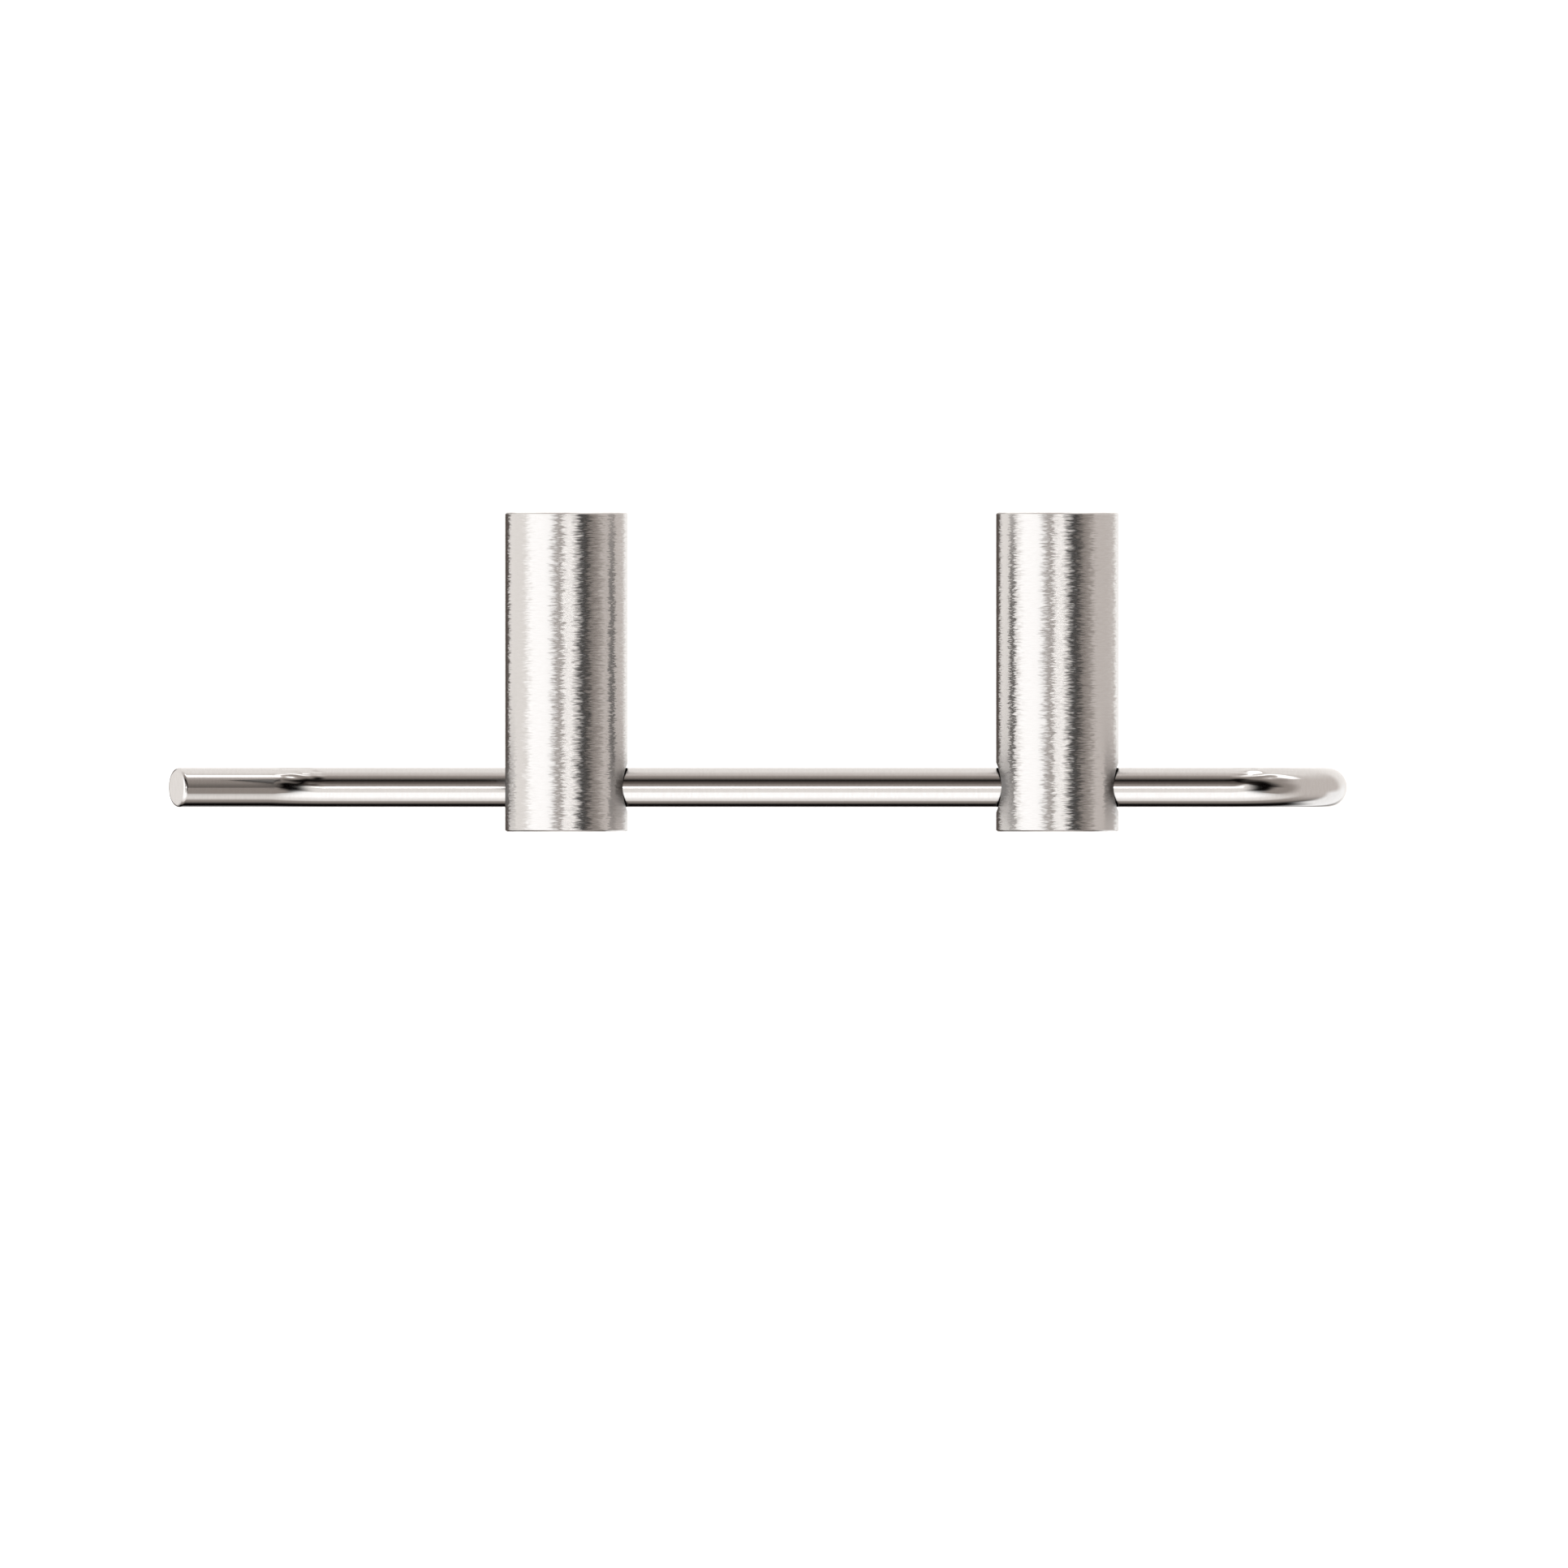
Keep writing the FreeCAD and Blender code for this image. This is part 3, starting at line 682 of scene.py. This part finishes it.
def put_up_tent(look):
    """The world: the tent for what the steel mirrors, and plain white behind the rack."""
    world = bpy.data.worlds.new("White tent")
    world.use_nodes = True
    tree = world.node_tree
    tree.nodes.clear()
    direction = add(tree, "ShaderNodeTexCoord").outputs["Generated"]
    z = add(tree, "ShaderNodeSeparateXYZ", (direction,)).outputs["Z"]
    angle = add(tree, "ShaderNodeMath", (z,), operation="ARCCOSINE")
    angle = add(tree, "ShaderNodeMath", (angle, math.pi), operation="DIVIDE")
    level = add(tree, "ShaderNodeVectorMath", (direction, (1, 1, 0)), operation="MULTIPLY")
    level = add(tree, "ShaderNodeVectorMath", (level,), operation="NORMALIZE")
    studio = (0, 0, 0)
    for (right, back), stops in TENT.items():
        facing = add(tree, "ShaderNodeVectorMath", (level, (right, back, 0)), operation="DOT_PRODUCT")
        facing = add(tree, "ShaderNodeMath", (facing.outputs["Value"], 0), operation="MAXIMUM")
        weight = add(tree, "ShaderNodeMath", (facing, 2), operation="POWER")
        inputs = {"Value": weight, "From Min": SIDE_BLEND[0], "From Max": SIDE_BLEND[1]}
        weight = add(tree, "ShaderNodeMapRange", inputs, interpolation_type="SMOOTHSTEP")
        side = tent_side(tree, angle, stops)
        studio = add(tree, "ShaderNodeVectorMath", (side, weight, studio), operation="MULTIPLY_ADD")
    for panel in PANELS:
        studio = hang_panel(tree, studio, direction, *panel)
    # A second reflection is dimmed, so that each post shows as a dark stripe in the other.
    path = add(tree, "ShaderNodeLightPath")
    inputs = {"Value": path.outputs["Glossy Depth"], "From Min": 1, "From Max": 2}
    inputs.update({"To Min": look.brightness, "To Max": look.brightness * look.between_pieces})
    strength = add(tree, "ShaderNodeMapRange", inputs)
    mirrored = add(tree, "ShaderNodeBackground", {"Color": studio, "Strength": strength})
    behind = add(tree, "ShaderNodeBackground", {"Color": (*linear(WHITE), 1)})
    seen = path.outputs["Is Camera Ray"]
    add(tree, "ShaderNodeOutputWorld", (add(tree, "ShaderNodeMixShader", (seen, mirrored, behind)),))
    return world


def lay_floor(look):
    """A plain pale floor, which the steel doesn't mirror because the tent stands for it."""
    data = bpy.data.meshes.new("pale_floor")
    half = look.floor_width / 2
    low = RAIL_LOW.z - look.floor_drop
    corners = [(-half, -half, low), (half, -half, low), (half, half, low), (-half, half, low)]
    data.from_pydata(corners, [], [(0, 1, 2, 3)])
    floor = bpy.data.objects.new("pale_floor", data)
    floor.visible_glossy = False
    material, tree, _ = new_material("Paper, matt white")
    shader = add(tree, "ShaderNodeBsdfDiffuse", {"Color": (*look.floor, 1)})
    add(tree, "ShaderNodeOutputMaterial", {"Surface": shader})
    data.materials.append(material)
    return floor


class HOOKRACK_OT_stage(bpy.types.Operator):
    """Put up the studio, its floor and lamp, and the camera straight over the rack"""

    bl_idname = "hookrack.stage"
    bl_label = "Set the Stage"

    def execute(self, context):
        look = context.scene.hook_rack.studio
        scene = context.scene
        scene.view_settings.view_transform = "Standard"
        scene.world = put_up_tent(look)
        floor = lay_floor(look)
        scene.collection.objects.link(floor)

        lamp_data = bpy.data.lights.new("overhead_lamp", "AREA")
        lamp_data.size = look.lamp_width
        lamp_data.energy = look.lamp_power
        lamp = bpy.data.objects.new("overhead_lamp", lamp_data)
        lamp.location = (0, 0, look.lamp_height)
        lamp.visible_glossy = False
        scene.collection.objects.link(lamp)

        camera_data = bpy.data.cameras.new("overhead_camera")
        camera_data.type = "ORTHO"
        camera_data.ortho_scale = look.view_width
        camera_data.clip_start = 0.01
        camera_data.clip_end = 20
        camera = bpy.data.objects.new("overhead_camera", camera_data)
        camera.location = (*look.camera_shift, look.camera_height)
        scene.collection.objects.link(camera)
        scene.camera = camera
        return {"FINISHED"}


class HOOKRACK_PT_sidebar(bpy.types.Panel):
    """The hook rack's steps and settings"""

    bl_label = "Hook Rack"
    bl_space_type = "VIEW_3D"
    bl_region_type = "UI"
    bl_category = "Hook Rack"

    def draw(self, context):
        settings = context.scene.hook_rack
        for operator, group in STEPS:
            box = self.layout.box()
            box.operator(operator.bl_idname)
            look = getattr(settings, group)
            for name in look.__annotations__:
                box.prop(look, name)


# Each operator, with the group of settings that it reads.
STEPS = (
    (HOOKRACK_OT_rail, "rail"),
    (HOOKRACK_OT_post_tubes, "posts"),
    (HOOKRACK_OT_ends, "ends"),
    (HOOKRACK_OT_rail_blocks, "blocks"),
    (HOOKRACK_OT_screws, "screws"),
    (HOOKRACK_OT_stage, "studio"),
)
CLASSES = (
    HookRackRail,
    HookRackPosts,
    HookRackEnds,
    HookRackBlocks,
    HookRackScrews,
    HookRackStudio,
    HookRackSettings,
    *(operator for operator, _ in STEPS),
    HOOKRACK_PT_sidebar,
)


def register():
    for each in CLASSES:
        bpy.utils.register_class(each)
    bpy.types.Scene.hook_rack = bpy.props.PointerProperty(type=HookRackSettings)


def unregister():
    del bpy.types.Scene.hook_rack
    for each in reversed(CLASSES):
        bpy.utils.unregister_class(each)


def main():
    register()
    bpy.ops.hookrack.rail()
    bpy.ops.hookrack.post_tubes()
    bpy.ops.hookrack.ends()
    bpy.ops.hookrack.rail_blocks()
    bpy.ops.hookrack.screws()
    bpy.ops.hookrack.stage()


if __name__ == "__main__":
    main()
